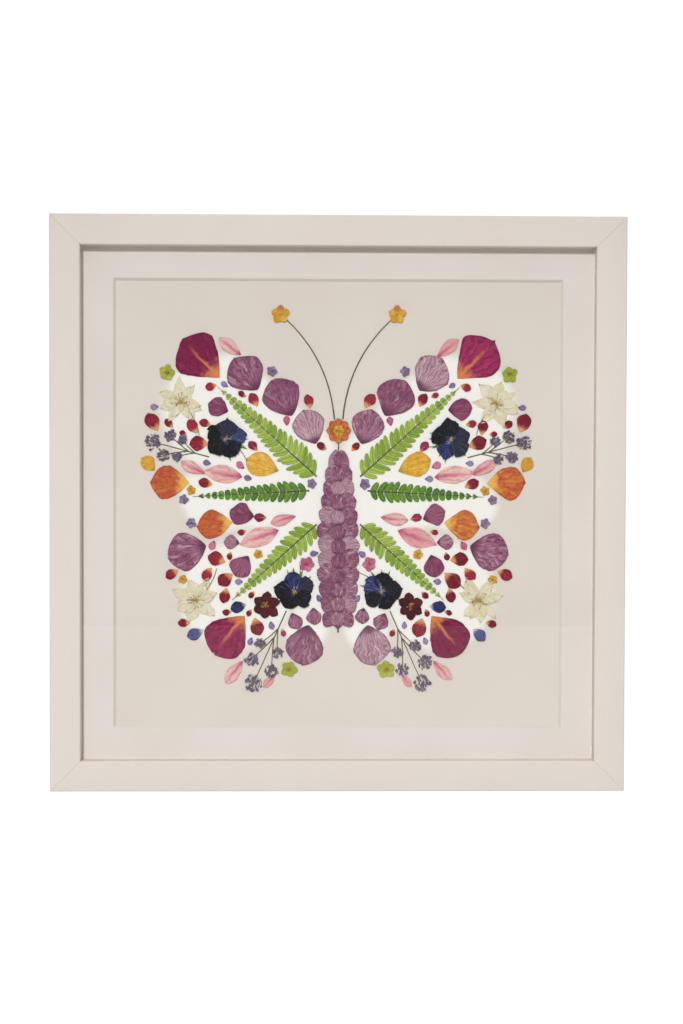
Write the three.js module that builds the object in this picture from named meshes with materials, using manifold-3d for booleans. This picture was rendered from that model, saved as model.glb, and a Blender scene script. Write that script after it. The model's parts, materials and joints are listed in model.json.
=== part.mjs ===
// A square white box frame that holds a butterfly laid out in pressed flowers behind glass.
// Millimetres, +Z up. The front faces -Y and the back rests on a wall at Y = 0.
// The origin is the middle of the top rail's back face, where the frame meets the wall.
import * as THREE from "three";
import { mergeVertices } from "three/addons/utils/BufferGeometryUtils.js";
import Module from "manifold-3d";

const wasm = await Module();
wasm.setup();

// Driving dimensions of the frame
const OUTER = 470; // outside of the square frame
const FACE = 25; // moulding width, seen from the front
const DEPTH = 28; // wall to front face
const LIP_DEPTH = 5; // moulding in front of the glass
const LIP_COVER = 7; // how far the lip reaches over the glass
const EASED_EDGE = 1.2; // rounding of the two front edges
const MITRE_GAP = 0.3; // hairline at each mitre
const STACK_GAP = 0.1; // between the sheets held in the frame
const SHEET_PLAY = 1; // each sheet is this much short of the rebate on every side

// Sheets held behind the lip, from the front to the back
const GLASS_THICK = 2;
const SPACER_THICK = 5;
const MAT_THICK = 2;
const BACKING_THICK = 1;
const BACKBOARD_THICK = 3;
const SPACER_SETBACK = 0.5; // spacer stands back from the sight edge
const MAT_WINDOW = 366; // at the foot of the bevel

// Steel fittings on the back
const TAB = { width: 10, reach: 14, inWood: 7, thick: 0.8, clearance: 0.3 };
const HANGER = { length: 54, foot: 10, height: 12, thick: 1, rise: 2.5, drop: 30 };
const TEETH = { count: 7, depth: 2.4 };

// Pressed pieces
const PRESSED_THICK = 0.5;
const LAYER_STEP = 0.8; // one pressed piece lying over another
const GLUE_GAP = 0.1;
const STEM_WIDTH = 1.2;
const STALK_INSET = 0.06; // a stalk's faces lie this far inside what it joins

// Worked out from the driving dimensions
const HALF = OUTER / 2;
const REBATE_SIZE = OUTER - 2 * (FACE - LIP_COVER);
const SHEET_SIZE = REBATE_SIZE - 2 * SHEET_PLAY;
const SIGHT_SIZE = OUTER - 2 * FACE;
const GLASS_FRONT = DEPTH - LIP_DEPTH - STACK_GAP; // distances forward of the wall
const SPACER_FRONT = GLASS_FRONT - GLASS_THICK - STACK_GAP;
const MAT_FRONT = SPACER_FRONT - SPACER_THICK - STACK_GAP;
const BACKING_FRONT = MAT_FRONT - MAT_THICK - STACK_GAP;
const BACKBOARD_FRONT = BACKING_FRONT - BACKING_THICK - STACK_GAP;
const BACKBOARD_BACK = BACKBOARD_FRONT - BACKBOARD_THICK;

// Wing roots: X is for the right wing, Z is above the middle of the frame
const FOREWING_ROOT = { x: 6, z: 12 };
const HINDWING_ROOT = { x: 6, z: -6 };

// Each piece lies on a ray from its wing's root: degrees above +X on the right wing, then where it
// starts and ends on the ray, and its width.
const FOREWING = [
  { name: "fern", kind: "fern", ray: 42, from: 16, to: 126, width: 34 },
  { name: "mauve_petal_1", kind: "mauve", ray: 71, from: 40, to: 69, width: 27 },
  { name: "mauve_petal_2", kind: "mauve", ray: 62, from: 69, to: 102, width: 31 },
  { name: "mauve_petal_3", kind: "mauve", ray: 53.5, from: 102, to: 134, width: 31 },
  { name: "wine_petal", kind: "wine", ray: 45, from: 130, to: 173, width: 38 },
  { name: "blossom", kind: "blossom", ray: 30, from: 122, to: 164, width: 42 },
  { name: "pansy", kind: "pansy", ray: 25.5, from: 77, to: 113, width: 36 },
  { name: "sprig", kind: "sprig", ray: 14.5, from: 104, to: 156, width: 26 },
  { name: "orange_petal", kind: "orange", ray: 2.5, from: 117, to: 148, width: 28 },
  { name: "yellow_petal", kind: "orange", ray: 19.5, from: 46, to: 74, width: 21 },
  { name: "pink_petal", kind: "pink", ray: 8, from: 74, to: 106, width: 15 },
  { name: "small_fern", kind: "fern", ray: -3, from: 18, to: 114, width: 24 },
];
const HINDWING = [
  { name: "fern", kind: "fern", ray: -42, from: 16, to: 110, width: 30 },
  { name: "orange_petal", kind: "orange", ray: -6.5, from: 82, to: 111, width: 25 },
  { name: "mauve_petal_1", kind: "mauve", ray: -15.5, from: 107, to: 139, width: 31 },
  { name: "blossom", kind: "blossom", ray: -33.5, from: 112, to: 154, width: 42 },
  { name: "wine_petal", kind: "wine", ray: -50.5, from: 112, to: 152, width: 35 },
  { name: "sprig", kind: "sprig", ray: -65.5, from: 90, to: 162, width: 30 },
  { name: "mauve_petal_2", kind: "mauve", ray: -79, from: 96, to: 129, width: 31 },
  { name: "pansy", kind: "pansy", ray: -65.5, from: 54, to: 89, width: 35 },
  { name: "pink_petal", kind: "pink", ray: -20, from: 46, to: 80, width: 16 },
];

// Body and antennae, on the middle line
const SPIKE = { tail: -106, neck: 50, width: 34, pairs: 12 };
const HEAD = { z: 60.5, radius: 10, lobes: 8 };
const ANTENNA = { foot: [3.5, 70], bend: [8, 122], tip: [48, 156], bud: 7.8, lobes: 5 };

// Outline formulas of the petals: lean moves the widest part to the tip, full rounds the sides
const PETALS = {
  mauve: { lean: 1.25, full: 0.6 },
  wine: { lean: 1.6, full: 0.58 },
  orange: { lean: 1.4, full: 0.66 },
  pink: { lean: 1.0, full: 0.8 },
};
const PETAL_STEPS = 9;
const BLOSSOM = { lobes: 6, heart: 0.42, steps: 6 };
const PANSY = { lobes: 5, heart: 0.72, steps: 6 };
const FERN = { spacing: 5.9, leaflet: 0.78, rise: 0.5, shoulder: 0.1 };
const FLORET = { leaflet: 0.86, rise: 0.35, shoulder: 0.2 };
const SPRIG_FORK = 0.5; // a branch leaves the main stalk at this share of its head's height
const SPRIG_HEADS = [
  { along: 0.9, across: 0, radius: 0.27 },
  { along: 0.66, across: 0.32, radius: 0.2 },
  { along: 0.69, across: -0.3, radius: 0.21 },
  { along: 0.45, across: 0.27, radius: 0.15 },
  { along: 0.47, across: -0.24, radius: 0.16 },
];

const FINISH = {
  paint: { color: 0xdbd3c9, roughness: 0.45 },
  glass: { color: 0xf4f6f5, roughness: 0.05, transparent: true, opacity: 0.15 },
  card: { color: 0xdcd5cc, roughness: 0.9 },
  paper: { color: 0xd9d1c6, roughness: 0.95 },
  fibreboard: { color: 0x9a7a58, roughness: 0.85 },
  steel: { color: 0xb9bbbd, roughness: 0.35, metalness: 1 },
  fern: { color: 0x6f8f26, roughness: 0.7 },
  mauve: { color: 0x8a5a80, roughness: 0.75 },
  wine: { color: 0x9c1440, roughness: 0.7 },
  orange: { color: 0xd98a3a, roughness: 0.7 },
  pink: { color: 0xdb8f8f, roughness: 0.75 },
  blossom: { color: 0xe9dfc0, roughness: 0.8 },
  pansy: { color: 0x2a2636, roughness: 0.75 },
  sprig: { color: 0x7d6a80, roughness: 0.8 },
  stem: { color: 0x66662e, roughness: 0.8 },
};

const radians = THREE.MathUtils.degToRad;

function finish(name) {
  return new THREE.MeshStandardMaterial({ metalness: 0, ...FINISH[name] });
}

function named(name, geometry, finishName) {
  const mesh = new THREE.Mesh(geometry, finish(finishName));
  mesh.name = name;
  return mesh;
}

// Boolean joins and cuts

function solid(geometry) {
  const bare = geometry.clone();
  bare.deleteAttribute("normal");
  bare.deleteAttribute("uv");
  const merged = mergeVertices(bare, 1e-3);
  const vertProperties = new Float32Array(merged.attributes.position.array);
  const triVerts = new Uint32Array(merged.index.array);
  return new wasm.Manifold(new wasm.Mesh({ numProp: 3, vertProperties, triVerts }));
}

function geometryOf(body) {
  const { vertProperties, triVerts } = body.getMesh();
  const geometry = new THREE.BufferGeometry();
  geometry.setAttribute("position", new THREE.BufferAttribute(vertProperties, 3));
  geometry.setIndex(new THREE.BufferAttribute(triVerts, 1));
  geometry.computeVertexNormals();
  return geometry;
}

function joined(geometries) {
  return geometryOf(geometries.map(solid).reduce((whole, piece) => whole.add(piece)));
}

// Turns an outline drawn in (X, Z) into a plate whose back is at Y = 0 and whose front is at -thick.
function plate(shape, thick) {
  return new THREE.ExtrudeGeometry(shape, { depth: thick, bevelEnabled: false }).rotateX(Math.PI / 2);
}

function square(size) {
  const h = size / 2;
  const corners = [[-h, -h], [h, -h], [h, h], [-h, h]];
  return corners.map(([x, z]) => new THREE.Vector2(x, z));
}

// The frame's rails: an L-shaped moulding, mitred at both ends and slotted for its tab.

function mouldingProfile() {
  const wall = FACE - LIP_COVER;
  const lipBack = DEPTH - LIP_DEPTH;
  const profile = new THREE.Shape();
  profile.moveTo(0, 0);
  profile.lineTo(wall, 0);
  profile.lineTo(wall, lipBack);
  profile.lineTo(FACE, lipBack);
  profile.lineTo(FACE, DEPTH - EASED_EDGE);
  profile.absarc(FACE - EASED_EDGE, DEPTH - EASED_EDGE, EASED_EDGE, 0, Math.PI / 2);
  profile.lineTo(EASED_EDGE, DEPTH);
  profile.absarc(EASED_EDGE, DEPTH - EASED_EDGE, EASED_EDGE, Math.PI / 2, Math.PI);
  profile.closePath();
  return profile;
}

function topRail() {
  const options = { depth: 1, bevelEnabled: false, curveSegments: 4 };
  const bar = new THREE.ExtrudeGeometry(mouldingProfile(), options);
  const at = bar.attributes.position;
  for (let i = 0; i < at.count; i += 1) {
    const inward = at.getX(i);
    const forward = at.getY(i);
    const halfLength = HALF - inward - MITRE_GAP / 2;
    at.setXYZ(i, (1 - 2 * at.getZ(i)) * halfLength, -forward, HALF - inward);
  }
  const slot = new THREE.BoxGeometry(
    TAB.width + 2 * TAB.clearance,
    TAB.thick + 2 * TAB.clearance,
    2 * (TAB.inWood + TAB.clearance),
  );
  slot.translate(0, -(BACKBOARD_BACK - STACK_GAP - TAB.thick / 2), REBATE_SIZE / 2);
  return geometryOf(solid(bar).subtract(solid(slot)));
}

function frameRails() {
  const turns = { top: 0, right: 1, bottom: 2, left: 3 };
  return Object.entries(turns).map(([side, quarter]) => {
    const rail = named(`rail_${side}`, topRail(), "paint");
    rail.rotation.y = (quarter * Math.PI) / 2;
    return rail;
  });
}

// The sheets held in the rebate

function heldSheet(name, thick, front, finishName) {
  const sheet = named(name, new THREE.BoxGeometry(SHEET_SIZE, thick, SHEET_SIZE), finishName);
  sheet.position.y = -(front - thick / 2);
  return sheet;
}

function ringShape(size, opening) {
  const ring = new THREE.Shape(square(size));
  ring.holes.push(new THREE.Path(square(opening)));
  return ring;
}

function spacerFrame() {
  const opening = SIGHT_SIZE + 2 * SPACER_SETBACK;
  const spacer = named("spacer_frame", plate(ringShape(SHEET_SIZE, opening), SPACER_THICK), "paint");
  spacer.position.y = -(SPACER_FRONT - SPACER_THICK);
  return spacer;
}

function windowMat() {
  const geometry = plate(ringShape(SHEET_SIZE, MAT_WINDOW), MAT_THICK);
  const at = geometry.attributes.position;
  const bevelled = (MAT_WINDOW + 2 * MAT_THICK) / MAT_WINDOW;
  for (let i = 0; i < at.count; i += 1) {
    const onWindow = Math.abs(at.getX(i)) < SHEET_SIZE / 2 - MAT_THICK;
    const onFront = at.getY(i) < -MAT_THICK / 2;
    if (onWindow && onFront) at.setXYZ(i, at.getX(i) * bevelled, at.getY(i), at.getZ(i) * bevelled);
  }
  const mat = named("window_mat", geometry, "card");
  mat.position.y = -(MAT_FRONT - MAT_THICK);
  return mat;
}

function heldSheets() {
  return [
    heldSheet("glass_pane", GLASS_THICK, GLASS_FRONT, "glass"),
    spacerFrame(),
    windowMat(),
    heldSheet("backing_paper", BACKING_THICK, BACKING_FRONT, "paper"),
    heldSheet("backboard", BACKBOARD_THICK, BACKBOARD_FRONT, "fibreboard"),
  ];
}

// Steel fittings: one bent-over tab in each rail, and a toothed hanger on the backboard

function retainingTabs() {
  const sides = ["top", "right", "bottom", "left"];
  return sides.map((side, quarter) => {
    const strip = new THREE.BoxGeometry(TAB.width, TAB.thick, TAB.inWood + TAB.reach);
    const middle = REBATE_SIZE / 2 + (TAB.inWood - TAB.reach) / 2;
    strip.translate(0, -(BACKBOARD_BACK - STACK_GAP - TAB.thick / 2), middle);
    const tab = named(`tab_${side}`, strip, "steel");
    tab.rotation.y = (quarter * Math.PI) / 2;
    return tab;
  });
}

function hanger() {
  const { length, foot, height, thick, rise, drop } = HANGER;
  const half = length / 2;
  const shoulder = half - foot;
  const bridge = shoulder - rise;
  const outline = [
    [-half, 0], [-shoulder, 0], [-bridge, rise], [bridge, rise], [shoulder, 0], [half, 0],
    [half, thick], [shoulder + thick / 2, thick], [bridge + thick / 2, rise + thick],
    [-bridge - thick / 2, rise + thick], [-shoulder - thick / 2, thick], [-half, thick],
  ];
  const profile = new THREE.Shape(outline.map(([x, back]) => new THREE.Vector2(x, back)));
  const strip = new THREE.ExtrudeGeometry(profile, { depth: height, bevelEnabled: false });
  let body = solid(strip);
  const pitch = (2 * bridge) / TEETH.count;
  for (let i = 0; i < TEETH.count; i += 1) {
    const notch = new THREE.CylinderGeometry(TEETH.depth, TEETH.depth, 4 * rise, 4);
    notch.translate(-bridge + (i + 0.5) * pitch, rise, 0);
    body = body.subtract(solid(notch));
  }
  const fitting = named("hanger", geometryOf(body), "steel");
  fitting.position.set(0, -(BACKBOARD_BACK - STACK_GAP), SIGHT_SIZE / 2 - drop);
  return fitting;
}

// Outlines of pressed pieces, drawn from their base at (0, 0) towards +Z

function petalShape(length, width, { lean, full }) {
  const side = [];
  for (let i = 1; i < PETAL_STEPS; i += 1) {
    const along = i / PETAL_STEPS;
    const half = (width / 2) * Math.sin(Math.PI * along ** lean) ** full;
    side.push([half, along * length]);
  }
  const left = side.map(([x, z]) => [-x, z]).reverse();
  return new THREE.Shape([[0, 0], ...side, [0, length], ...left].map(([x, z]) => new THREE.Vector2(x, z)));
}

// A flower seen from above: rounded lobes about a heart, the first lobe pointing outwards.
function rosetteShape(radius, { lobes, heart, steps = 6 }) {
  const count = lobes * steps;
  const points = [];
  for (let i = 0; i < count; i += 1) {
    const turn = (2 * Math.PI * i) / count;
    const lobe = Math.abs(Math.cos((lobes * turn) / 2));
    const reach = radius * (heart + (1 - heart) * lobe ** 0.7);
    points.push(new THREE.Vector2(-reach * Math.sin(turn), radius + reach * Math.cos(turn)));
  }
  return new THREE.Shape(points);
}

// Paired leaflets along a stem. reach(along) gives each leaflet's share of the half width.
function frondShape(length, width, pairs, { leaflet, rise, shoulder }, reach) {
  const pitch = length / (pairs + 1);
  const thick = leaflet * pitch;
  const right = [[STEM_WIDTH / 2, 0]];
  for (let i = 0; i < pairs; i += 1) {
    const foot = pitch * (i + 0.35);
    const out = Math.max((width / 2) * reach((i + 0.5) / pairs), STEM_WIDTH);
    const up = out * rise;
    right.push([STEM_WIDTH / 2, foot]);
    right.push([out, foot + up]);
    right.push([out * (1 - shoulder), foot + up + thick * 0.8]);
    right.push([STEM_WIDTH / 2, foot + thick]);
  }
  const left = right.map(([x, z]) => [-x, z]).reverse();
  return new THREE.Shape([...right, [0, length], ...left].map(([x, z]) => new THREE.Vector2(x, z)));
}

function fernReach(along) {
  return Math.min(1, 0.62 + 3 * along) * (1 - along) ** 0.75;
}

function spikeReach(along) {
  return Math.sin(Math.PI * (0.2 + 0.72 * along)) ** 0.7;
}

function fernPlate(length, width) {
  const pairs = Math.round(length / FERN.spacing);
  return plate(frondShape(length, width, pairs, FERN, fernReach), PRESSED_THICK);
}

// A flat stalk from one point to another, set in from both faces of a pressed piece
function stalk([x0, z0], [x1, z1], inset) {
  const along = new THREE.Vector2(x1 - x0, z1 - z0);
  const aside = new THREE.Vector2(-along.y, along.x).setLength(STEM_WIDTH / 2);
  const corners = [
    [x0 + aside.x, z0 + aside.y], [x0 - aside.x, z0 - aside.y],
    [x1 - aside.x, z1 - aside.y], [x1 + aside.x, z1 + aside.y],
  ];
  const shape = new THREE.Shape(corners.map(([x, z]) => new THREE.Vector2(x, z)));
  return plate(shape, PRESSED_THICK - 2 * inset).translate(0, -inset, 0);
}

// A main stalk whose branches each end in a cluster of small florets
function sprigPlate(length, width) {
  const pieces = [];
  SPRIG_HEADS.forEach(({ along, across, radius }, i) => {
    const tip = [across * width, along * length];
    const fork = [0, i === 0 ? 0 : tip[1] * SPRIG_FORK];
    const head = rosetteShape(radius * width, { lobes: 5, heart: 0.7, steps: 3 });
    pieces.push(stalk(fork, tip, (i + 1) * STALK_INSET / 2));
    pieces.push(plate(head, PRESSED_THICK).translate(tip[0], 0, tip[1] - radius * width));
  });
  return joined(pieces);
}

function pressedPlate({ kind, from, to, width }) {
  const length = to - from;
  if (kind === "fern") return fernPlate(length, width);
  if (kind === "sprig") return sprigPlate(length, width);
  if (kind === "blossom") return plate(rosetteShape(length / 2, BLOSSOM), PRESSED_THICK);
  if (kind === "pansy") return plate(rosetteShape(length / 2, PANSY), PRESSED_THICK);
  return plate(petalShape(length, width, PETALS[kind]), PRESSED_THICK);
}

// Distance forward of the wall of a pressed piece's back
function layerBack(layer) {
  return BACKING_FRONT + GLUE_GAP + layer * LAYER_STEP;
}

function wing(wingName, side, root, rows) {
  const across = side === "right" ? 1 : -1;
  return rows.map((row) => {
    const piece = named(`${wingName}_${side}_${row.name}`, pressedPlate(row), row.kind);
    const ray = radians(side === "right" ? row.ray : 180 - row.ray);
    piece.rotation.y = Math.PI / 2 - ray;
    piece.position.set(
      across * root.x + row.from * Math.cos(ray),
      -layerBack(0),
      root.z + row.from * Math.sin(ray),
    );
    return piece;
  });
}

function bodySpike() {
  const length = SPIKE.neck - SPIKE.tail;
  const shape = frondShape(length, SPIKE.width, SPIKE.pairs, FLORET, spikeReach);
  const spike = named("body_spike", plate(shape, PRESSED_THICK), "mauve");
  spike.position.set(0, -layerBack(1), SPIKE.tail);
  return spike;
}

function headBud() {
  const shape = rosetteShape(HEAD.radius, { lobes: HEAD.lobes, heart: 0.85 });
  const bud = named("head_bud", plate(shape, PRESSED_THICK), "orange");
  bud.position.set(0, -layerBack(1), HEAD.z - HEAD.radius);
  return bud;
}

// A thin curved stem that ends in a small flower
function antenna(side) {
  const across = side === "right" ? 1 : -1;
  const [foot, bend, tip] = [ANTENNA.foot, ANTENNA.bend, ANTENNA.tip].map(
    ([x, z]) => new THREE.Vector3(across * x, -STEM_WIDTH / 2, z),
  );
  const path = new THREE.QuadraticBezierCurve3(foot, bend, tip);
  const section = new THREE.Shape().absarc(0, 0, STEM_WIDTH / 2, 0, 2 * Math.PI);
  const stem = new THREE.ExtrudeGeometry(section, { extrudePath: path, steps: 12, curveSegments: 3 });
  const bud = plate(rosetteShape(ANTENNA.bud, { lobes: ANTENNA.lobes, heart: 0.55 }), PRESSED_THICK);
  const midStem = (STEM_WIDTH - PRESSED_THICK) / 2;
  bud.translate(across * ANTENNA.tip[0], -midStem, ANTENNA.tip[1] - ANTENNA.bud);
  const whole = named(`antenna_${side}`, joined([stem, bud]), "stem");
  whole.position.y = -layerBack(0) - GLUE_GAP;
  return whole;
}

const picture = new THREE.Group();
picture.add(...frameRails(), ...heldSheets(), ...retainingTabs(), hanger());
for (const side of ["left", "right"]) {
  picture.add(...wing("forewing", side, FOREWING_ROOT, FOREWING));
  picture.add(...wing("hindwing", side, HINDWING_ROOT, HINDWING));
  picture.add(antenna(side));
}
picture.add(bodySpike(), headBud());
picture.position.z = FACE / 2 - HALF;

const part = new THREE.Group();
part.add(picture);

export default part;
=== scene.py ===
import json
import math
import random

import bpy
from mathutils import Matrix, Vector, noise
from mathutils.bvhtree import BVHTree
from mathutils.geometry import convex_hull_2d


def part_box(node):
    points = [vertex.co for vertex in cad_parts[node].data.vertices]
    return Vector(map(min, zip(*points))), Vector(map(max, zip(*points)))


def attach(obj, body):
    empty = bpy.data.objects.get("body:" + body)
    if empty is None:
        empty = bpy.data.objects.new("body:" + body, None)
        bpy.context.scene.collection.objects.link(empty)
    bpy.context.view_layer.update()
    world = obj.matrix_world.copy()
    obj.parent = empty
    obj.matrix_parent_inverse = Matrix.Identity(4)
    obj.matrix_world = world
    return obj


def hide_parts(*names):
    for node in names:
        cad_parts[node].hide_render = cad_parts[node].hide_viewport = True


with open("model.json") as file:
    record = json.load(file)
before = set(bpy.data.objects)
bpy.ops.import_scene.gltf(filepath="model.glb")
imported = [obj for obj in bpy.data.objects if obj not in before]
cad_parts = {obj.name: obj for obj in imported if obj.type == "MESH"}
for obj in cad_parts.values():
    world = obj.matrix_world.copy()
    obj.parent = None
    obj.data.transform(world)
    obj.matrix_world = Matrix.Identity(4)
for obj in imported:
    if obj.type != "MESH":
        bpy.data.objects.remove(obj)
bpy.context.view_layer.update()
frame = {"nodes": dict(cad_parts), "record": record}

# Places on the paper are in millimetres from the middle of the picture: X to the right, Z up.
# Lift is the height above the paper, towards the glass.
MM = 0.001
PAPER_LOW, PAPER_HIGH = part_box("backing_paper")
MIDDLE_Z = (PAPER_LOW.z + PAPER_HIGH.z) / 2
PAPER_FRONT = PAPER_LOW.y
WING_ROOTS = {"forewing": (6, 12), "hindwing": (6, -6)}
SLOT_OF = {row["node"]: row["material_slot"] for row in frame["record"]["subparts"]}

# Pressed plant matter
THIN = 0.12
BED = 0.3
BODY_BED = 1.1
STEM_HALF = 0.6

# Camera, as the picture was photographed: almost square on
CAMERA_PLACE = (-0.0151, -1.0996, -0.2073)
CAMERA_PITCH = -1.146
CAMERA_ROLL = -0.152
CAMERA_YAW = -0.932
FOCAL_PIXELS = 1315.2
IMAGE_HEIGHT = 1024
SENSOR = 36.0

# Studio: a key light from the front, a little above and to the left, and a soft sky
KEY_PLACE = (-0.42, -3.0, 0.95)
KEY_AIM = (0.1, 0.0, -0.66)
KEY_POWER = 308
KEY_RADIUS = 0.2
KEY_CONE = 42
SKY_FRONT = 0.24
SKY_BEHIND = 1.02
SKY_TOP = 2.0
# Axis of the direction, where a ramp starts and ends, and its value there
SKY_RAMPS = (("Y", 0.1, 0.6, SKY_FRONT, SKY_BEHIND), ("Z", 0.3, 1.0, 1.0, SKY_TOP))
FLOOR_Z = -1.6
FLOOR_CORNERS = ((-8, -12), (8, -12), (8, 2), (-8, 2))


# Shader maths


def ink(code):
    """A colour written as six hexadecimal digits, as the linear values that shaders take."""
    parts = [int(code[i:i + 2], 16) / 255 for i in (0, 2, 4)]
    linear = [p / 12.92 if p <= 0.04045 else ((p + 0.055) / 1.055) ** 2.4 for p in parts]
    return (*linear, 1.0)


def socket_of(sockets, key):
    if isinstance(key, int):
        return sockets[key]
    return next(s for s in sockets if key in (s.identifier, s.name))


class Value:
    """A number in a material. Python arithmetic on it adds Math nodes."""

    def __init__(self, look, socket):
        self.look = look
        self.socket = socket

    def math(self, operation, *others):
        return self.look.maths(operation, self, *others)

    def __add__(self, other):
        return self.math("ADD", other)

    def __sub__(self, other):
        return self.math("SUBTRACT", other)

    def __rsub__(self, other):
        return self.look.maths("SUBTRACT", other, self)

    def __mul__(self, other):
        return self.math("MULTIPLY", other)

    def __truediv__(self, other):
        return self.math("DIVIDE", other)

    def __pow__(self, other):
        return self.math("POWER", other)

    __radd__ = __add__
    __rmul__ = __mul__

    def size(self):
        return self.math("ABSOLUTE")

    def smooth(self, low, high):
        """0 below low, 1 above high and a smooth step between them. High may be the lower one."""
        settings = {"interpolation_type": "SMOOTHSTEP"}
        sockets = {"Value": self, "From Min": low, "From Max": high}
        return self.look.add("ShaderNodeMapRange", settings, sockets)


class Look:
    """A material: one Principled shader and the nodes that feed it."""

    def __init__(self, name, finish):
        self.material = bpy.data.materials.new(name)
        self.material.use_nodes = True
        self.tree = self.material.node_tree
        self.shader = self.tree.nodes["Principled BSDF"]
        for socket, value in finish.items():
            self.feed(self.shader.inputs[socket], value)

    def feed(self, socket, value):
        if isinstance(value, Value):
            self.tree.links.new(value.socket, socket)
        else:
            socket.default_value = value

    def add(self, kind, settings=None, sockets=None, output=0):
        node = self.tree.nodes.new(kind)
        for name, value in (settings or {}).items():
            setattr(node, name, value)
        for name, value in (sockets or {}).items():
            self.feed(socket_of(node.inputs, name), value)
        return Value(self, socket_of(node.outputs, output))

    def maths(self, operation, *values):
        return self.add("ShaderNodeMath", {"operation": operation}, dict(enumerate(values)))

    def blend(self, amount, first, second):
        sockets = {"Factor_Float": amount, "A_Color": first, "B_Color": second}
        return self.add("ShaderNodeMix", {"data_type": "RGBA"}, sockets, "Result_Color")

    def place(self, stretch=(1, 1, 1)):
        """Where a point is in the frame, in millimetres, each axis times its stretch."""
        spot = self.add("ShaderNodeTexCoord", output="Object")
        scale = tuple(s / MM for s in stretch)
        return self.add("ShaderNodeVectorMath", {"operation": "MULTIPLY"}, {0: spot, 1: scale})

    def point(self, x, y, z=0.0):
        return self.add("ShaderNodeCombineXYZ", None, {"X": x, "Y": y, "Z": z})

    def noise(self, vector, scale, detail=2.0, roughness=0.5):
        sockets = {"Vector": vector, "Scale": scale, "Detail": detail, "Roughness": roughness}
        return self.add("ShaderNodeTexNoise", None, sockets)

    def cells(self, vector, scale, feature="DISTANCE_TO_EDGE"):
        sockets = {"Vector": vector, "Scale": scale}
        return self.add("ShaderNodeTexVoronoi", {"feature": feature}, sockets)

    def growth(self):
        """Nearness to the rim, the piece's own tint, and how far along it a point is, each 0 to 1."""
        stored = self.add("ShaderNodeAttribute", {"attribute_name": "growth"}, output="Color")
        parts = self.add("ShaderNodeSeparateColor", None, {"Color": stored})
        node = parts.socket.node
        return [Value(self, node.outputs[i]) for i in range(3)]

    def blade(self):
        """A point's place on its own leaf or petal: across and along, as shares of its length."""
        spot = self.add("ShaderNodeUVMap", {"uv_map": "blade"})
        parts = self.add("ShaderNodeSeparateXYZ", None, {"Vector": spot}).socket.node
        return Value(self, parts.outputs["X"]) - 0.5, Value(self, parts.outputs["Y"])

    def colour(self, value):
        self.feed(self.shader.inputs["Base Color"], value)

    def rough(self, value):
        self.feed(self.shader.inputs["Roughness"], value)

    def relief(self, height, depth):
        """Raises the surface by height, where 1 stands for depth millimetres."""
        sockets = {"Height": height, "Distance": depth * MM, "Strength": 1.0}
        self.feed(self.shader.inputs["Normal"], self.add("ShaderNodeBump", None, sockets))


# Finishes of the frame


def paint_look(name, stretch):
    look = Look(name, {"Specular IOR Level": 0.15})
    strokes = look.noise(look.place(stretch), 0.9, 4.0)
    cloud = look.noise(look.place(), 0.012, 2.0)
    white = look.blend(cloud.smooth(0.3, 0.7), ink("ded6ce"), ink("dcd3cb"))
    look.colour(look.blend(strokes.smooth(0.55, 0.8) * 0.25, white, ink("d2c8be")))
    look.rough(0.55 + strokes * 0.16)
    look.relief(strokes, 0.05)
    return look


def card_look():
    look = Look("mat_card", {"Specular IOR Level": 0.15})
    fibres = look.noise(look.place(), 2.4, 5.0, 0.65)
    cloud = look.noise(look.place(), 0.01, 2.0)
    facing = look.add("ShaderNodeNewGeometry", output="Normal")
    parts = look.add("ShaderNodeSeparateXYZ", None, {"Vector": facing}).socket.node
    bevel = Value(look, parts.outputs["Y"]).size().smooth(0.95, 0.75)
    card = look.blend(cloud.smooth(0.3, 0.7), ink("e3dad5"), ink("dfd6d0"))
    card = look.blend(fibres.smooth(0.5, 0.75) * 0.2, card, ink("d2c7be"))
    look.colour(look.blend(bevel, card, ink("dad3ca")))
    look.rough(0.82 + fibres * 0.12)
    look.relief(fibres, 0.04)
    return look


# Painted pool of light on the paper under the right wings, mirrored to the left: strokes from one round
# end to another, each end given as its place on the paper and its radius.
WING_LIGHT_POOL = (
    ((8, 24), 22, (97, 76), 48),
    ((8, 0), 20, (108, 2), 22),
    ((8, -22), 18, (83, -74), 46),
    ((6, -40), 16, (26, -104), 16),
)
LIGHT_POOL_EDGE = 5.0


def painted_wing_light(look):
    """How much painted light brightens the paper: 1 under the wings and 0 beyond, with a soft and uneven
    edge.
    """
    spot = look.place()
    parts = look.add("ShaderNodeSeparateXYZ", None, {"Vector": spot}).socket.node
    x = Value(look, parts.outputs["X"]).size()
    z = Value(look, parts.outputs["Z"]) - MIDDLE_Z / MM
    wobble = (look.noise(spot, 0.03, 3.0) - 0.5) * 16.0
    beyond = 1e3
    for (start_x, start_z), start, (end_x, end_z), end in WING_LIGHT_POOL:
        run, climb = end_x - start_x, end_z - start_z
        out = x - start_x
        up = z - start_z
        share = (out * run + up * climb) / (run * run + climb * climb)
        share = share.math("MAXIMUM", 0.0).math("MINIMUM", 1.0)
        aside = out - share * run
        above = up - share * climb
        stroke = (aside * aside + above * above).math("SQRT") - (start + share * (end - start))
        beyond = stroke.math("MINIMUM", beyond)
    return (beyond + wobble).smooth(LIGHT_POOL_EDGE, -LIGHT_POOL_EDGE)


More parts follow.
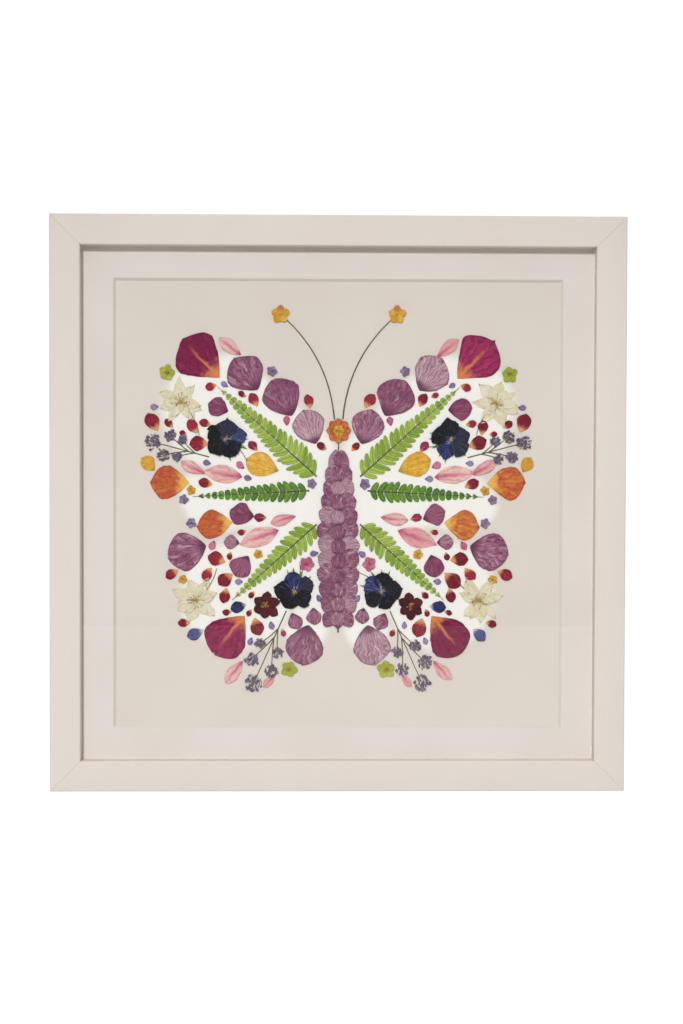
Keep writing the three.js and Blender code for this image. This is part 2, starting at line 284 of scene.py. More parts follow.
def paper_look():
    look = Look("backing_paper", {"Specular IOR Level": 0.12})
    tooth = look.noise(look.place(), 1.6, 6.0, 0.7)
    fibres = look.noise(look.place((0.25, 1, 1.6)), 0.9, 3.0)
    cloud = look.noise(look.place(), 0.008, 2.0)
    sheet = look.blend(cloud.smooth(0.3, 0.7), ink("dfd6cd"), ink("dbd1c8"))
    # Painted light: the paper is brightened to near white under the wings
    sheet = look.blend(painted_wing_light(look), sheet, ink("f4f1ec"))
    sheet = look.blend(fibres.smooth(0.6, 0.8) * 0.12, sheet, ink("cabfb1"))
    look.colour(look.blend(tooth.smooth(0.55, 0.8) * 0.15, sheet, ink("efe9e0")))
    look.rough(0.86 + tooth * 0.1)
    look.relief(tooth, 0.05)
    return look


def glass_look():
    finish = {
        "Base Color": ink("fdfefd"),
        "IOR": 1.45,
        "Transmission Weight": 1.0,
        "Specular IOR Level": 0.06,
    }
    look = Look("picture_glass", finish)
    film = look.noise(look.place(), 0.03, 3.0)
    look.rough(film.smooth(0.4, 0.9) * 0.03)
    return look


def hardboard_look():
    look = Look("hardboard", {"Specular IOR Level": 0.3})
    fibres = look.noise(look.place((1, 1, 0.35)), 0.8, 6.0, 0.7)
    flecks = look.cells(look.place((0.5, 1, 1)), 0.5, "F1")
    cloud = look.noise(look.place(), 0.02, 3.0)
    board = look.blend(cloud.smooth(0.3, 0.7), ink("8b6947"), ink("83623f"))
    board = look.blend(fibres.smooth(0.45, 0.75) * 0.7, board, ink("5d422b"))
    look.colour(look.blend(flecks.smooth(0.16, 0.05) * 0.6, board, ink("b18f69")))
    look.rough(0.55 + fibres * 0.25)
    look.relief(fibres, 0.08)
    return look


def zinc_look():
    look = Look("zinc_steel", {"Metallic": 1.0})
    rolled = look.noise(look.place((0.15, 1, 2)), 0.8, 3.0)
    spangle = look.cells(look.place(), 0.3, "F1")
    zinc = look.blend(spangle.smooth(0.1, 0.7), ink("c6c8ca"), ink("b4b8bc"))
    look.colour(look.blend(rolled.smooth(0.55, 0.8) * 0.3, zinc, ink("8e9194")))
    look.rough(0.3 + rolled * 0.2)
    look.relief(rolled, 0.02)
    return look


# Finishes of the plants


def petal_look(name, skin, deep_and_fold_shade, pale_and_fold_highlight, heel, vein, heel_reach=0.3, ribs=15.0, streak=0.0, clear=0.0,
               shine=0.08):
    """A pressed petal: creased skin with a painted highlight on the crease ridges and painted shade in
    their hollows, a heel of another colour at its base, and veins that fan out.
    clear is how far the paper shows through it."""
    look = Look(name, {"Specular IOR Level": shine})
    rim, tint, along = look.growth()
    across, out = look.blade()
    mottle = look.noise(look.place(), 0.32, 4.0, 0.6)
    warp = look.noise(look.place(), 0.16, 2.0) - 0.5
    fan = look.maths("ARCTAN2", across, out + 0.14) + warp * 0.3
    folds_and_fold_shading = look.noise(look.point(fan * 9.0, out * 2.4, tint * 20.0), 1.0, 3.0, 0.6)
    coarse = (1 - (fan * ribs).math("SINE").size()) ** 3
    fine = (1 - (fan * (ribs * 2.0) + mottle * 2.0).math("SINE").size()) ** 3 * out.smooth(0.3, 0.7)
    mesh = look.cells(look.point(fan * 16.0, out * 9.0), 1.0).smooth(0.08, 0.0)
    veins = coarse.math("MAXIMUM", fine * 0.7).math("MAXIMUM", mesh * 0.45)
    colour = look.blend(mottle.smooth(0.36, 0.7), ink(skin), ink(deep_and_fold_shade))
    # Painted highlight on the creases' ridges and painted shade in their hollows, from the same noise that
    # raises them
    colour = look.blend(folds_and_fold_shading.smooth(0.48, 0.75) * 0.75, colour, ink(pale_and_fold_highlight))
    colour = look.blend(folds_and_fold_shading.smooth(0.48, 0.25) * 0.6, colour, ink(deep_and_fold_shade))
    colour = look.blend(tint.smooth(0.4, 1.0) * 0.45, colour, ink(pale_and_fold_highlight))
    colour = look.blend(tint.smooth(0.5, 0.0) * 0.5, colour, ink(deep_and_fold_shade))
    colour = look.blend(veins * 0.9, colour, ink(vein))
    heel_mask = (along + (mottle - 0.5) * 0.35).smooth(heel_reach, heel_reach * 0.25)
    colour = look.blend(heel_mask * 0.9, colour, ink(heel))
    if streak:
        line = (across + warp * 0.1).size().smooth(streak, 0.0)
        line = line * (along + mottle * 0.4).smooth(1.15, 0.5)
        colour = look.blend(line * 0.85, colour, ink(heel))
    look.colour(look.blend(rim.smooth(0.82, 1.0) * 0.5, colour, ink(deep_and_fold_shade)))
    if clear:
        look.feed(look.shader.inputs["Alpha"], 1 - clear * (1 - veins) * (1 - folds_and_fold_shading * 0.6))
    look.rough(0.62 + folds_and_fold_shading * 0.25)
    look.relief(folds_and_fold_shading * 1.4 - veins * 0.5, 0.22)
    return look


def fern_look(name, young, old, rib):
    look = Look(name, {"Specular IOR Level": 0.25})
    rim, tint, _ = look.growth()
    across, out = look.blade()
    mottle = look.noise(look.place(), 0.4, 4.0, 0.6)
    midrib = across.size().smooth(0.05, 0.01)
    slant = (across.size() * 1.2 - out).math("MULTIPLY", 42.0).math("SINE").size()
    veins = (1 - slant) ** 5
    green = look.blend((mottle * 0.5 + tint * 0.6).smooth(0.25, 0.8), ink(young), ink(old))
    green = look.blend(veins * 0.3, green, ink(old))
    green = look.blend(midrib * 0.6, green, ink(rib))
    look.colour(look.blend(rim.smooth(0.85, 1.0) * 0.35, green, ink(old)))
    look.rough(0.55 + mottle * 0.25)
    look.relief(veins * 0.4 + midrib + mottle * 0.5, 0.1)
    return look


def stem_look(name, green, brown):
    look = Look(name, {"Specular IOR Level": 0.25})
    across, out = look.blade()
    patches = look.noise(look.place(), 0.25, 3.0)
    grooves = look.noise(look.point(across * 60.0, out * 6.0), 1.0, 2.0)
    look.colour(look.blend((patches * 0.7 + grooves * 0.3).smooth(0.35, 0.65), ink(green), ink(brown)))
    look.rough(0.6 + grooves * 0.2)
    look.relief(grooves, 0.1)
    return look


def floret_look(name, dark, bright, dry):
    look = Look(name, {"Specular IOR Level": 0.2})
    _, tint, along = look.growth()
    mottle = look.noise(look.place(), 0.9, 3.0)
    colour = look.blend((tint + mottle * 0.4).smooth(0.3, 0.95), ink(dark), ink(bright))
    colour = look.blend((tint - mottle * 0.5).smooth(0.45, 0.75) * 0.8, colour, ink(dry))
    look.colour(look.blend(along.smooth(0.45, 0.05) * 0.7, colour, ink(dry)))
    look.rough(0.7 + mottle * 0.2)
    look.relief(mottle, 0.1)
    return look


def grain_look(name, first, second):
    """Dusty grains of two tones."""
    look = Look(name, {"Specular IOR Level": 0.15})
    grains = look.noise(look.place(), 1.8, 3.0)
    look.colour(look.blend(grains.smooth(0.35, 0.65), ink(first), ink(second)))
    look.rough(0.75 + grains * 0.2)
    look.relief(grains, 0.1)
    return look


PETALS = {
    "mauve": petal_look("mauve_petal", "ad7089", "7e4262", "e6c8ce", "5e2c4a", "4e1c40", ribs=24),
    "plum": petal_look("plum_petal", "954a6c", "7c3858", "b47490", "5c2842", "4e1f3c", ribs=20),
    "wine": petal_look("wine_petal", "980a50", "680634", "bb3a70", "dd8648", "5a062c", 0.34, 18, 0.05),
    "red": petal_look("red_petal", "9c1230", "640a1c", "c23a4c", "f0a868", "5a0818", 0.42, 14),
    "maroon": petal_look("maroon_petal", "531017", "36080e", "6e2228", "8c3a2c", "2a0609", 0.22, 14),
    "orange": petal_look("orange_petal", "d98236", "b4402f", "eba94e", "efc05a", "a44a2c", 0.4, 16),
    "yellow": petal_look("yellow_petal", "e8b83a", "d18f26", "f2d370", "a98a2c", "bb852a", 0.2, 16),
    "lime": petal_look("lime_petal", "bcbd4a", "94a02c", "d6d378", "7d8a26", "8c962c", 0.3, 14),
    "pink": petal_look("pink_petal", "eabdb1", "dc9a9c", "f2d5c8", "c2557a", "c8788a", 0.2, 12, 0.11),
    "rose": petal_look("rose_petal", "cf6f90", "b04a74", "e6a3b6", "8f2f58", "a8426c", 0.3, 16),
    "cream": petal_look("cream_petal", "f9f3df", "eee3c0", "fefcf4", "c9b65e", "e0d09a", 0.34, 10,
                        clear=0.4),
    "dark": petal_look("dark_petal", "15121b", "060508", "4a4766", "3b3560", "030304", 0.2, 14,
                       shine=0.02),
    "indigo": petal_look("indigo_petal", "2e3674", "1a1d46", "7078ac", "d5d3e2", "171a40", 0.3, 14),
    "lilac": petal_look("lilac_petal", "9784b0", "75608f", "bfb0cf", "5a4676", "66527f", 0.3, 12),
}
FERN = fern_look("fern_leaf", "a5bb4a", "7f9c2c", "5d7320")
DARK_FERN = fern_look("dark_fern_leaf", "5c8818", "3a640c", "7a9434")
STEM = stem_look("dried_stem", "5d6330", "4d4229")
FLORETS = floret_look("dry_florets", "54456c", "8577a6", "6b5a4a")
CALYX = floret_look("dry_calyces", "62553f", "8f7f64", "4d4034")
ANTHER = grain_look("anthers", "c9a03c", "8f7428")


# Meshes of pressed plants


class Pressed:
    """Thin surfaces gathered into one mesh. Each is a grid of points that a function gives."""

    def __init__(self, name, *looks):
        self.name = name
        self.looks = looks
        self.points = []
        self.faces = []
        self.spots = []
        self.growth = []
        self.finishes = []

    def sheet(self, shape, long, wide, tint, look=0):
        """Adds a grid of long by wide faces. shape gives a point's place, blade spot and rim."""
        first = len(self.points)
        for i in range(long + 1):
            along = (1 - math.cos(math.pi * i / long)) / 2
            for j in range(wide + 1):
                (x, z, lift), spot, rim = shape(along, 2 * j / wide - 1)
                self.points.append((x * MM, PAPER_FRONT - max(lift, 2 * THIN) * MM, MIDDLE_Z + z * MM))
                self.spots.append(spot)
                self.growth.append((rim, tint, along, 1.0))
        for i in range(long):
            for j in range(wide):
                corner = first + i * (wide + 1) + j
                self.faces.append((corner, corner + 1, corner + wide + 2, corner + wide + 1))
                self.finishes.append(look)

    def piece(self, slot, *nodes):
        mesh = bpy.data.meshes.new(self.name)
        mesh.from_pydata(self.points, [], self.faces)
        blade = mesh.uv_layers.new(name="blade")
        loops = [loop.vertex_index for loop in mesh.loops]
        blade.data.foreach_set("uv", [c for v in loops for c in self.spots[v]])
        growth = mesh.color_attributes.new("growth", "FLOAT_COLOR", "POINT")
        growth.data.foreach_set("color", [c for row in self.growth for c in row])
        mesh.polygons.foreach_set("material_index", self.finishes)
        for look in self.looks:
            mesh.materials.append(look.material)
        mesh.shade_smooth()
        made = bpy.data.objects.new(self.name, mesh)
        bpy.context.scene.collection.objects.link(made)
        skin = made.modifiers.new("skin", "SOLIDIFY")
        skin.thickness = THIN * MM
        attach(made, "root")
        if nodes:
            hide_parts(*nodes)
        return made


def bow(base, turn, length, bend=0.0):
    """A path from base, turn radians from +X, that bends evenly by bend radians over its length."""

    def path(along):
        heading = turn + bend * along
        aim = Vector((math.cos(heading), math.sin(heading)))
        if abs(bend) < 1e-3:
            return base + aim * (length * along), aim
        radius = length / bend
        offset = Vector((math.sin(heading) - math.sin(turn), math.cos(turn) - math.cos(heading)))
        return base + offset * radius, aim

    return path


def hop(foot, middle, tip):
    """A path that leaves foot towards middle and arrives at tip."""

    def path(along):
        rest = 1 - along
        spot = foot * (rest * rest) + middle * (2 * rest * along) + tip * (along * along)
        aim = (middle - foot) * rest + (tip - middle) * along
        return spot, aim.normalized()

    return path


def ribbon(path, length, half, lift, reach=None):
    """A surface along path, half(along, across) wide to each side and lift(along, across) high."""

    def shape(along, across):
        further = along * (reach(across) if reach else 1.0)
        spot, aim = path(further)
        sideways = across * half(along, across)
        place = spot + Vector((aim.y, -aim.x)) * sideways
        rim = max(abs(across), along ** 3)
        return (place.x, place.y, lift(along, across)), (0.5 + sideways / length, along), rim

    return shape


def ripple(along, across, seed, fine):
    """Smooth noise over a piece, about -1 to 1."""
    return 1.6 * noise.noise(Vector((across * fine, along * fine * 1.6, seed)))


def petal(base, turn, length, width, seed, bed=BED, lean=1.25, full=0.6, ruffle=0.06, curl=0.5,
          crease=0.16, bend=0.0, rise=0.0):
    """A petal's surface. lean moves the widest part to the tip, full rounds the sides and rise lifts
    the tip."""

    def half(along, across):
        side = math.copysign(1.0, across)
        teeth = 0.4 * ripple(along, side, seed + 7.9, 9.0)
        edge = 1 + ruffle * (ripple(along, side, seed + 3.7, 2.6) + teeth)
        return max(width / 2 * math.sin(math.pi * min(along, 0.999) ** lean) ** full * edge, 0.25)

    def reach(across):
        wave = 0.5 * ripple(0.5, across, seed + 9.1, 1.5)
        teeth = 0.2 * ripple(0.5, across, seed, 6.0)
        return 1 + ruffle * (wave + teeth)

    def lift(along, across):
        wave = 0.6 + 0.6 * ripple(along, across, seed, 1.2)
        edge = curl * (0.35 + 0.65 * along) * across ** 4 * wave
        fold = crease * ripple(along * 0.6, across * 2.2, seed + 5.3, 2.4)
        tip = curl * 0.5 * max(0.0, along - 0.8) * 5 * ripple(0.3, across, seed + 1.9, 1.8)
        return bed + THIN + max(0.0, edge) + fold + max(0.0, tip) + rise * along

    return ribbon(bow(base, turn, length, bend), length, half, lift, reach)


# How each kind of petal is formed, as petal takes it
BLOSSOM_PETAL = dict(lean=1.1, full=0.8, ruffle=0.2, curl=0.7, crease=0.3)
PANSY_PETAL = dict(lean=1.5, full=0.55, ruffle=0.17, curl=1.0, crease=0.4)
PANSY_SEPAL = dict(lean=0.9, full=0.9, ruffle=0.1, curl=0.1, crease=0.05)
SPIKE_PETAL = dict(lean=1.3, full=0.5, ruffle=0.1, curl=0.7, crease=0.28, rise=0.5)
SPIKE_MIDDLE = dict(lean=1.3, full=0.55, ruffle=0.1, curl=0.7, crease=0.28, rise=0.5)
HEAD_PETAL = dict(lean=1.5, full=0.55, ruffle=0.06, curl=0.5, crease=0.15)
BUD_PETAL = dict(lean=1.3, full=0.6, ruffle=0.08, curl=0.5, crease=0.15)
BUD_SEPAL = dict(lean=0.9, full=0.8)
LOOSE_PETAL = dict(lean=1.35, full=0.62, ruffle=0.09, curl=0.7, crease=0.2)
LOOSE_LOBE = dict(lean=1.3, full=0.6, ruffle=0.12, curl=0.7, crease=0.2)
FLORET_LOBE = dict(lean=1.3, full=0.6, ruffle=0.05, curl=0.35, crease=0.05)
FLORET_CALYX = dict(lean=1.2, full=0.6, ruffle=0.05, curl=0.3, crease=0.05)
ANTHER_GRAIN = dict(lean=1.0, full=0.5, ruffle=0.0, curl=0.0, crease=0.0)


def stalk(path, length, bed=BED, wide=STEM_HALF, taper=0.35):
    """A pressed stem: a narrow ribbon with a rounded back."""

    def half(along, across):
        return wide * (1 - taper * along)

    def lift(along, across):
        return bed + THIN + wide * math.sqrt(max(0.0, 1 - across * across))

    return ribbon(path, length, half, lift)


# Reading the solids


def on_paper(corner):
    return Vector((corner.x / MM, (corner.z - MIDDLE_Z) / MM))


def wing_root(node):
    wing, side = node.split("_")[:2]
    x, z = WING_ROOTS[wing]
    return Vector((x if side == "right" else -x, z))


def corners_of(node):
    return [on_paper(v.co) for v in frame["nodes"][node].data.vertices]


def ray_of(node, nearest=None):
    """A wing piece's base, its turn from +X, and its length and width. Nearest takes its foot alone."""
    root = wing_root(node)
    corners = corners_of(node)
    aimed = sorted(corners, key=lambda c: (c - root).length)[:nearest]
    aim = (sum(aimed, Vector((0, 0))) / len(aimed) - root).normalized()
    reaches = [(c - root).dot(aim) for c in corners]
    sides = [abs((c - root).dot(Vector((aim.y, -aim.x)))) for c in corners]
    start = min(reaches)
    return root + aim * start, math.atan2(aim.y, aim.x), max(reaches) - start, 2 * max(sides)


# Pressed pieces of the wings


def petal_piece(node, kind, lean, full):
    chance = random.Random(node)
    base, turn, length, width = ray_of(node)
    made = Pressed("pressed_" + node, PETALS[kind])
    seed = chance.uniform(0, 50)
    shape = petal(base, turn, length, width, seed, lean=lean, full=full, ruffle=0.07)
    made.sheet(shape, 40, 28, chance.random())
    return made.piece(SLOT_OF[node], node)


FERN_SPACING = 5.9
LEAFLET_RISE = 0.5
LEAFLET_SHARE = 0.82


def fern_reach(along):
    return min(1, 0.62 + 3 * along) * (1 - along) ** 0.75


def leaflet(base, turn, length, width, seed, bend):
    """One fern leaflet: blunt, with small teeth."""

    def half(along, across):
        teeth = 1 - 0.13 * abs(math.sin(along * length * 1.3 + seed))
        return max(width / 2 * (1 - along ** 5) ** 0.5 * (0.75 + 0.5 * along * (1 - along)) * teeth, 0.12)

    def lift(along, across):
        roll = 0.22 * (1 - across * across)
        sway = 0.22 * along * noise.noise(Vector((seed, along * 1.5, 0.0)))
        return BED + THIN + roll + max(0.0, sway) + 0.12 * along * along

    return ribbon(bow(base, turn, length, bend), length, half, lift)


def fern_piece(node, look):
    chance = random.Random(node)
    base, turn, length, width = ray_of(node)
    made = Pressed("pressed_" + node, look, STEM)
    aim = Vector((math.cos(turn), math.sin(turn)))
    pairs = round(length / FERN_SPACING)
    pitch = length / (pairs + 1)
    open_angle = math.atan2(1, LEAFLET_RISE)
    made.sheet(stalk(bow(base, turn, length), length, BED + 0.15, STEM_HALF * 1.1, 0.8), 40, 6, 0.5, 1)
    for i in range(pairs):
        out = max(width / 2 * fern_reach((i + 0.5) / pairs), 2 * STEM_HALF)
        foot = base + aim * (pitch * (i + 0.35 + 0.5 * LEAFLET_SHARE))
        for hand in (1, -1):
            lean = open_angle + chance.uniform(-0.06, 0.06)
            long = out * math.hypot(1, LEAFLET_RISE) * chance.uniform(0.94, 1.02)
            shape = leaflet(foot, turn + hand * lean, long, pitch * LEAFLET_SHARE * 1.3,
                            chance.uniform(0, 60), hand * chance.uniform(-0.32, -0.12))
            made.sheet(shape, 14, 6, chance.random())
    return made.piece(SLOT_OF[node], node)


THREAD_HALF = 0.16
ANTHER_LONG = 1.3
ANTHER_WIDE = 0.8


def stamens(made, middle, reach, count, chance, bed, look):
    """Fine threads from the middle of a flower, each with an anther at its end."""
    for _ in range(count):
        turn = chance.uniform(0, 2 * math.pi)
        length = reach * chance.uniform(0.45, 1.0)
        bend = chance.uniform(-0.8, 0.8)
        path = bow(middle, turn, length, bend)
        made.sheet(stalk(path, length, bed, THREAD_HALF, 0.2), 8, 2, 0.8, look)
        tip, aim = path(1.0)
        grain = petal(tip - aim * 0.4, math.atan2(aim.y, aim.x), ANTHER_LONG, ANTHER_WIDE,
                      chance.uniform(0, 9), bed + 0.25, **ANTHER_GRAIN)
        made.sheet(grain, 6, 4, 0.3, look)


def flower_stem(made, middle, turn, radius, chance, look):
    """A thin stem that leaves a flower's back in a curve."""
    reach = radius * 1.5
    path = bow(middle, turn + math.pi + chance.uniform(-0.2, 0.2), reach, chance.choice((-0.7, 0.7)))
    made.sheet(stalk(path, reach, BED - 0.1, STEM_HALF * 0.7), 24, 6, 0.5, look)


# Number of petals in each ring, their length and width as shares of the radius, twist and rise
BLOSSOM_RINGS = ((7, 1.0, 0.46, 0.0, 0.0), (6, 0.78, 0.36, 0.5, 0.3), (4, 0.45, 0.26, 0.2, 0.55))


def blossom_piece(node):
    chance = random.Random(node)
    base, turn, length, _ = ray_of(node)
    made = Pressed("pressed_" + node, PETALS["cream"], ANTHER, STEM)
    radius = length / 2
    middle = base + Vector((math.cos(turn), math.sin(turn))) * radius
    flower_stem(made, middle, turn, radius, chance, 2)
    for count, share, broad, twist, rise in BLOSSOM_RINGS:
        for i in range(count):
            aim = turn + (i + twist) * 2 * math.pi / count + chance.uniform(-0.16, 0.16)
            long = radius * share * chance.uniform(0.8, 1.02)
            shape = petal(middle, aim, long, radius * broad * chance.uniform(0.8, 1.15),
                          chance.uniform(0, 60), BED + rise + 0.05 * (i % 2),
                          bend=chance.uniform(-0.35, 0.35), **BLOSSOM_PETAL)
            made.sheet(shape, 24, 14, chance.random())
    stamens(made, middle, radius * 0.36, 16, chance, BED + 0.8, 1)
    return made.piece(SLOT_OF[node], node)


PANSY_BED = BED + 0.6
PANSY_LAYER = 0.16
PANSY_HEART = BED + 1.5


def pansy_piece(node):
    chance = random.Random(node)
    base, turn, length, _ = ray_of(node)
    made = Pressed("pressed_" + node, PETALS["dark"], PETALS["indigo"], ANTHER, DARK_FERN, STEM)
    radius = length / 2
    middle = base + Vector((math.cos(turn), math.sin(turn))) * radius
    flower_stem(made, middle, turn, radius, chance, 4)
    for i in range(5):
        aim = turn + math.pi + (i - 2) * 0.42 + chance.uniform(-0.1, 0.1)
        shape = petal(middle, aim, radius * chance.uniform(0.98, 1.2), radius * 0.24,
                      chance.uniform(0, 60), **PANSY_SEPAL)
        made.sheet(shape, 16, 6, chance.random(), 3)
    for layer, i in enumerate((0, 3, 2, 4, 1)):
        aim = turn + i * 2 * math.pi / 5 + chance.uniform(-0.12, 0.12)
        long = radius * chance.uniform(0.9, 1.02)
        wide = radius * chance.uniform(0.86, 0.98)
        bed = PANSY_BED + PANSY_LAYER * layer
        shape = petal(middle, aim, long, wide, chance.uniform(0, 60), bed, **PANSY_PETAL)
        made.sheet(shape, 34, 24, chance.random(), 1 if i == 3 else 0)
    for i in range(3):
        aim = turn + i * 2.2
        shape = petal(middle, aim, radius * 0.3, radius * 0.2, i * 3.1, PANSY_HEART)
        made.sheet(shape, 8, 6, 0.5, 1)
    stamens(made, middle, radius * 0.12, 7, chance, PANSY_HEART + 0.1, 2)
    return made.piece(SLOT_OF[node], node)


# A sprig's length and width, where its side stems fork, and its heads: place along and across, and radius,
# as shares of them
SPRIG_SIZES = {"forewing": (52, 26), "hindwing": (72, 30)}
SPRIG_FORK = 0.5
SPRIG_HEADS = (
    (0.9, 0.0, 0.27),
    (0.66, 0.32, 0.2),
    (0.69, -0.3, 0.21),
    (0.45, 0.27, 0.15),
    (0.47, -0.24, 0.16),
)
HEAD_SPREAD = 0.85
CALYX_REACH = 1.7


def floret(made, middle, radius, lobes, turn, bed, chance, look):
    """A tiny flower seen from above."""
    tint = chance.random()
    for i in range(lobes):
        aim = turn + i * 2 * math.pi / lobes
        long = radius * chance.uniform(0.85, 1.05)
        shape = petal(middle, aim, long, radius * 0.85, chance.uniform(0, 60), bed, **FLORET_LOBE)
        made.sheet(shape, 4, 2, tint, look)


def sprig_piece(node):
    chance = random.Random(node)
    wing = node.split("_")[0]
    base, turn, _, _ = ray_of(node, nearest=4)
    length, width = SPRIG_SIZES[wing]
    made = Pressed("pressed_" + node, FLORETS, STEM, CALYX)
    aim = Vector((math.cos(turn), math.sin(turn)))
    side = Vector((aim.y, -aim.x))
    for index, (along, across, share) in enumerate(SPRIG_HEADS):
        tip = base + aim * (along * length) + side * (across * width)
        fork = base + aim * (0 if index == 0 else along * length * SPRIG_FORK)
        path = hop(fork, fork.lerp(tip, 0.5) + aim * (2.0 if index else 0.0), tip)
        made.sheet(stalk(path, (tip - fork).length, BED, STEM_HALF * 0.8), 20, 6, 0.5, 1)
        for _ in range(int(26 + 130 * share)):
            swing = chance.uniform(0, 2 * math.pi)
            outward = Vector((math.cos(swing), math.sin(swing)))
            spot = tip + outward * (share * width * math.sqrt(chance.random()) * HEAD_SPREAD)
            heading = spot - fork
            heading = math.atan2(heading.y, heading.x) + chance.uniform(-0.6, 0.6)
            bed = BED + chance.uniform(0.1, 1.2)
            cup = petal(spot, heading, chance.uniform(1.7, 2.8), chance.uniform(0.55, 0.95),
                        chance.uniform(0, 60), bed, **FLORET_CALYX)
            made.sheet(cup, 4, 2, chance.random(), 2)
            if chance.random() < 0.5:
                head = spot + Vector((math.cos(heading), math.sin(heading))) * CALYX_REACH
                floret(made, head, chance.uniform(0.7, 1.2), 5, swing, bed + 0.2, chance, 0)
    return made.piece(SLOT_OF[node], node)


# Where each kind of wing petal is widest, and how round it is
PETAL_FORMS = {
    "mauve": (1.25, 0.6),
    "wine": (1.6, 0.58),
    "orange": (1.4, 0.66),
    "yellow": (1.4, 0.66),
    "pink": (1.0, 0.8),
}


def wing_piece(node):
    part = node.split("_", 2)[2]
    if part == "fern":
        return fern_piece(node, FERN)
    if part == "small_fern":
        return fern_piece(node, DARK_FERN)
    if part == "blossom":
        return blossom_piece(node)
    if part == "pansy":
        return pansy_piece(node)
    if part == "sprig":
        return sprig_piece(node)
    kind = part.split("_")[0]
    return petal_piece(node, kind, *PETAL_FORMS[kind])


# Body, head and antennae


SPIKE_PAIRS = 12
SPIKE_RISE = 0.35


def spike_reach(along):
    return math.sin(math.pi * (0.2 + 0.72 * along)) ** 0.7


def body_piece(node):
    chance = random.Random(node)
    low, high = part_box(node)
    tail, neck = on_paper(low).y, on_paper(high).y
    width = (high.x - low.x) / MM
    made = Pressed("pressed_" + node, PETALS["mauve"], STEM)
    length = neck - tail
    pitch = length / (SPIKE_PAIRS + 1)
    up = math.pi / 2
    stem = stalk(bow(Vector((0, tail)), up, length), length, BODY_BED - 0.9, STEM_HALF * 1.2)
    made.sheet(stem, 30, 6, 0.5, 1)
    for i in range(SPIKE_PAIRS):
        out = width / 2 * spike_reach((i + 0.5) / SPIKE_PAIRS)
        foot = Vector((0, tail + pitch * (i + 0.35 + 0.43)))
        bed = BODY_BED + 0.08 * (i % 3)
        for hand in (1, -1):
            turn = up - hand * math.atan2(1, SPIKE_RISE) + chance.uniform(-0.06, 0.06)
            long = out * math.hypot(1, SPIKE_RISE) * chance.uniform(0.96, 1.02)
            shape = petal(foot, turn, long, pitch * 1.3, chance.uniform(0, 60), bed, **SPIKE_PETAL)
            made.sheet(shape, 26, 18, chance.random())
        shape = petal(foot - Vector((0, pitch * 0.5)), up + chance.uniform(-0.1, 0.1), pitch * 1.15,
                      min(out, pitch) * 1.05, chance.uniform(0, 60), bed + 0.4, **SPIKE_MIDDLE)
        made.sheet(shape, 24, 18, chance.random())
    return made.piece(SLOT_OF[node], node)


# Number of petals in each ring, their share of the radius, rise and look
HEAD_RINGS = ((8, 1.0, 0.0, 0), (8, 0.7, 0.3, 0), (6, 0.45, 0.6, 1))


def head_piece(node):
    chance = random.Random(node)
    low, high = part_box(node)
    middle = (on_paper(low) + on_paper(high)) / 2
    radius = (high.x - low.x) / MM / 2
    made = Pressed("pressed_" + node, PETALS["orange"], PETALS["yellow"], ANTHER)
    for count, share, rise, look in HEAD_RINGS:
        for i in range(count):
            aim = math.pi / 2 + (i + rise) * 2 * math.pi / count
            shape = petal(middle, aim, radius * share, radius * share * 0.75, chance.uniform(0, 60),
                          BODY_BED + rise, **HEAD_PETAL)
            made.sheet(shape, 16, 10, chance.random(), look)
    stamens(made, middle, radius * 0.25, 12, chance, BODY_BED + 0.9, 2)
    return made.piece(SLOT_OF[node], node)


ANTENNA_FOOT = Vector((3.5, 70))
ANTENNA_BEND = Vector((8, 122))
ANTENNA_TIP = Vector((48, 156))
ANTENNA_BUD = 7.8
SEPAL_LONG = 5.0
SEPAL_WIDE = 1.8


def antenna_piece(node):
    chance = random.Random(node)
    hand = 1 if node.endswith("right") else -1
    foot, middle, tip = [Vector((hand * p.x, p.y)) for p in (ANTENNA_FOOT, ANTENNA_BEND, ANTENNA_TIP)]
    made = Pressed("pressed_" + node, STEM, PETALS["yellow"], PETALS["orange"], DARK_FERN)
    path = hop(foot, middle, tip)
    length = (tip - foot).length
    made.sheet(stalk(path, length, BED + 0.1), 60, 6, 0.5, 0)
    _, aim = path(1.0)
    turn = math.atan2(aim.y, aim.x)
    for i in range(5):
        shape = petal(tip, math.pi / 2 + i * 2 * math.pi / 5, ANTENNA_BUD * chance.uniform(0.92, 1.0),
                      ANTENNA_BUD * 0.8, chance.uniform(0, 60), BED + 0.7, **BUD_PETAL)
        made.sheet(shape, 18, 12, chance.random(), 1 if i else 2)
    for i in range(3):
        sepal = petal(tip, turn + math.pi + (i - 1) * 0.7, SEPAL_LONG, SEPAL_WIDE, i * 2.7, BED + 0.5,
                      **BUD_SEPAL)
        made.sheet(sepal, 12, 6, 0.5, 3)
    return made.piece(SLOT_OF[node], node)


# Small loose petals that fill the wings between the larger pieces


LOOSE_CLEARANCE = 0.8
LOOSE_TRIES = 3000
LOOSE_ACROSS = (14, 165)
LOOSE_UP = (-160, 140)
